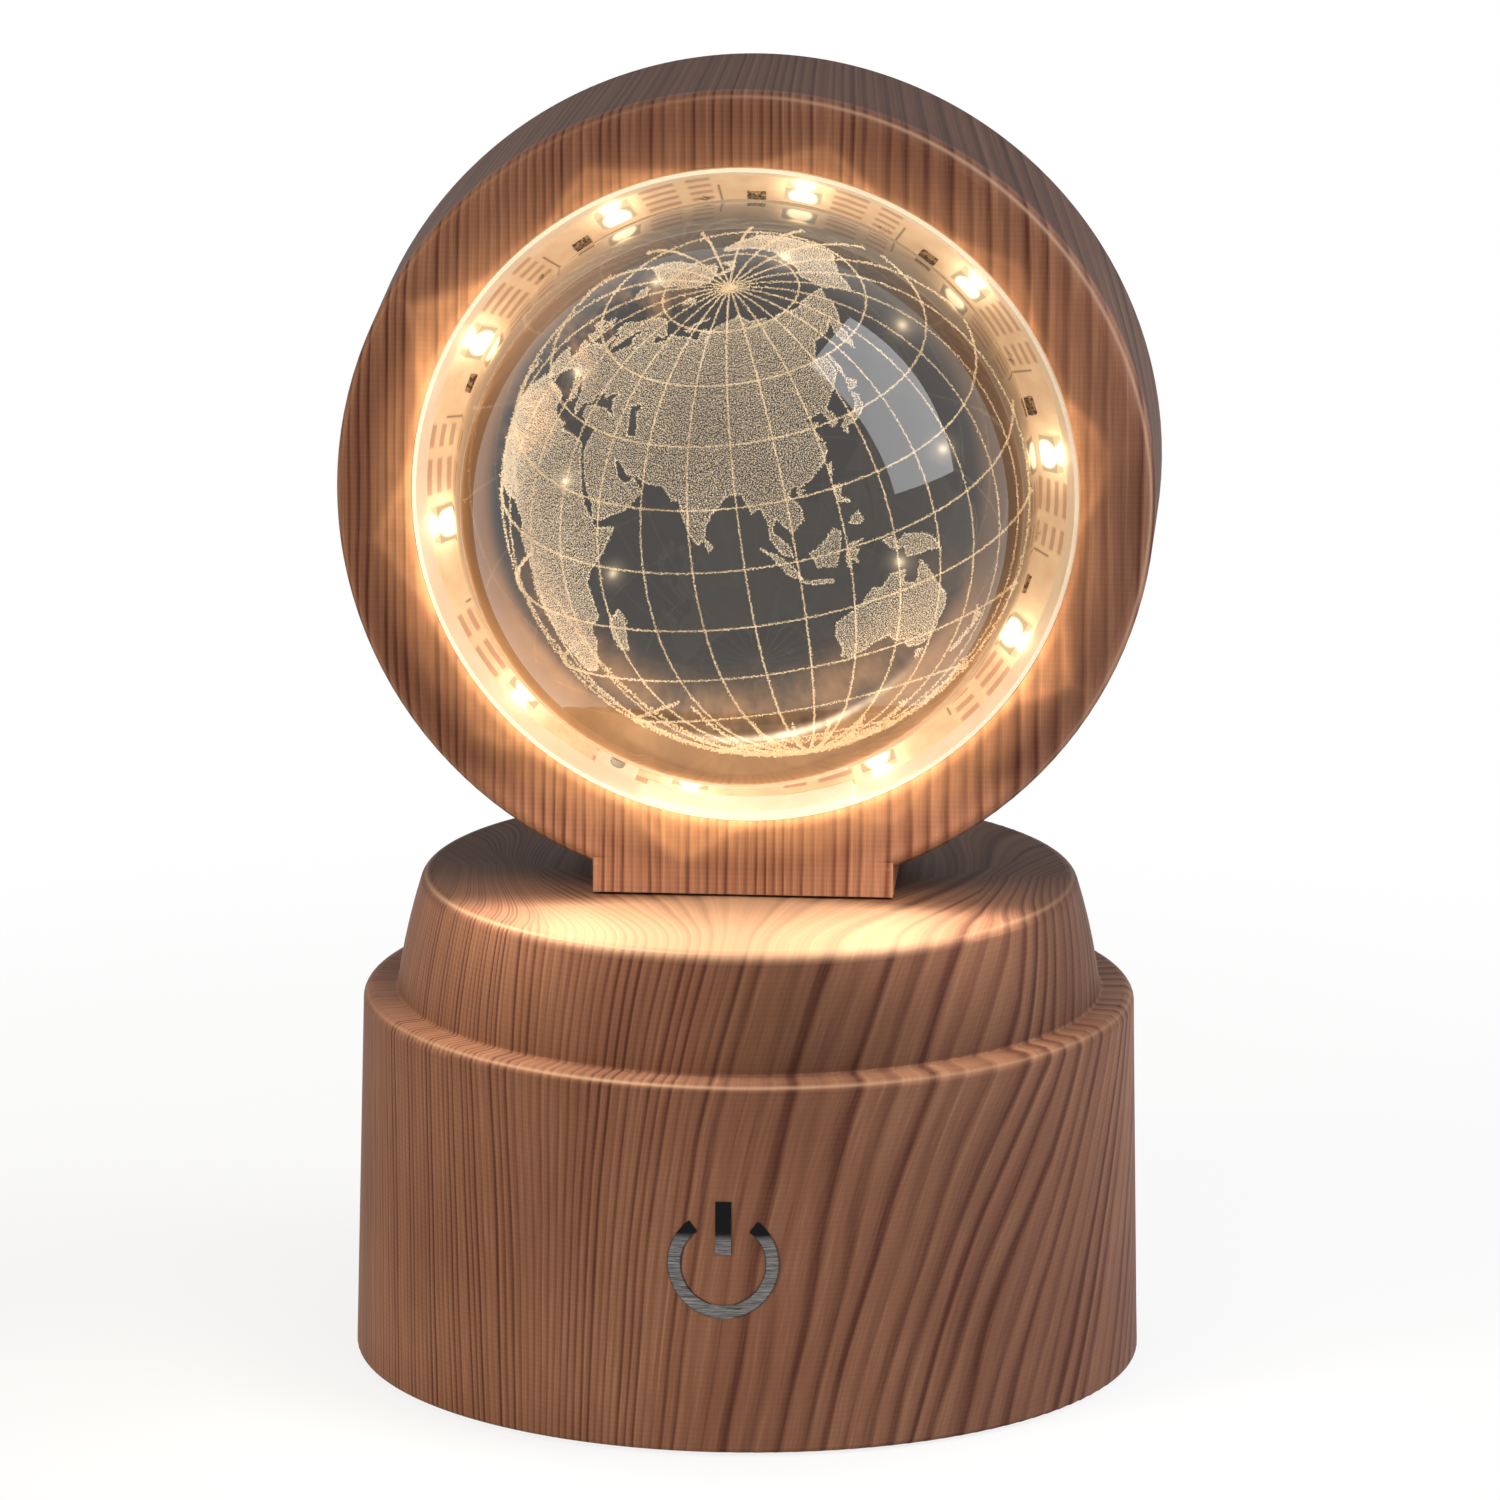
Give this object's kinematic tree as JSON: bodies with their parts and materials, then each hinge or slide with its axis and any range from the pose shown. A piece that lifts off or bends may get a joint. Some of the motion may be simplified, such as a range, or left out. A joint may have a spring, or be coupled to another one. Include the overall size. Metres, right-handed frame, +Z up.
{
  "type": "crystal ball lamp",
  "caption": "Rechargeable table lamp: a glass ball engraved with a globe, held in a lit wood-grain ring that turns on a two-tier round base with a touch switch.",
  "frame": {"origin": "on the table, under the middle of the round base, at the bottom of the rubber feet", "axes": "+Z up along the swivel; -Y is the front, where the touch symbol is and the ball looks; +X to the right of a person facing the front"},
  "size_m": [0.07, 0.068, 0.1129],
  "materials": {
    "wood_print": "glossy wood-grain transfer film over moulded plastic",
    "black_plastic": "fine moulded texture",
    "white_plastic": "smooth diffusing white",
    "rubber_grey": "soft matt",
    "steel": "bright zinc plated",
    "acetal": "waxy natural acetal",
    "crystal": "polished optical glass",
    "engraving": "fine white marks inside the glass",
    "clear_bond": "clear cured adhesive",
    "strip_film": "warm-tinted flexible circuit film with copper tracks",
    "phosphor": "warm white diode face, lit",
    "chip_black": "moulded package",
    "board_green": "solder-mask green with tinned pads",
    "cell_wrap": "satin pouch foil",
    "foam": "closed-cell foam",
    "foil": "brushed silver foil",
    "copper": "bare copper leaf",
    "lead_jacket": "smooth white jacket"
  },
  "bodies": {
    "base": {"base_shell": "wood_print", "bottom_plate": "black_plastic", "bottom_screws": "steel", "rubber_feet": "rubber_grey", "touch_symbol": "foil", "touch_pad": "copper", "control_board": "board_green", "board_screws": "steel", "board_parts": "chip_black", "lead_plugs": "white_plastic", "charging_socket": "steel", "battery_foam": "foam", "battery_cell": "cell_wrap", "swivel_bush": "acetal", "thrust_washer": "acetal", "tail_lead": "lead_jacket", "cell_lead": "lead_jacket", "touch_lead": "lead_jacket"},
    "head": {"ring_housing": "wood_print", "rear_cover": "black_plastic", "cover_screws": "steel", "light_seat": "white_plastic", "light_strip": "strip_film", "diodes": "phosphor", "strip_resistors": "chip_black", "strip_end_cover": "white_plastic", "crystal_ball": "crystal", "ball_bead": "clear_bond", "globe_engraving": "engraving", "swivel_spindle": "steel", "flange_screws": "steel", "stop_washer": "steel", "disc_spring": "steel", "swivel_nut": "steel", "ring_lead": "lead_jacket", "lead_splice": "lead_jacket"}
  },
  "joints": [
    {"name": "head_swivel", "type": "hinge", "parent": "base", "child": "head", "pos_m": [0, 0, 0.0426], "axis": [0, 0, 1], "range_deg": [-162, 162]}
  ]
}
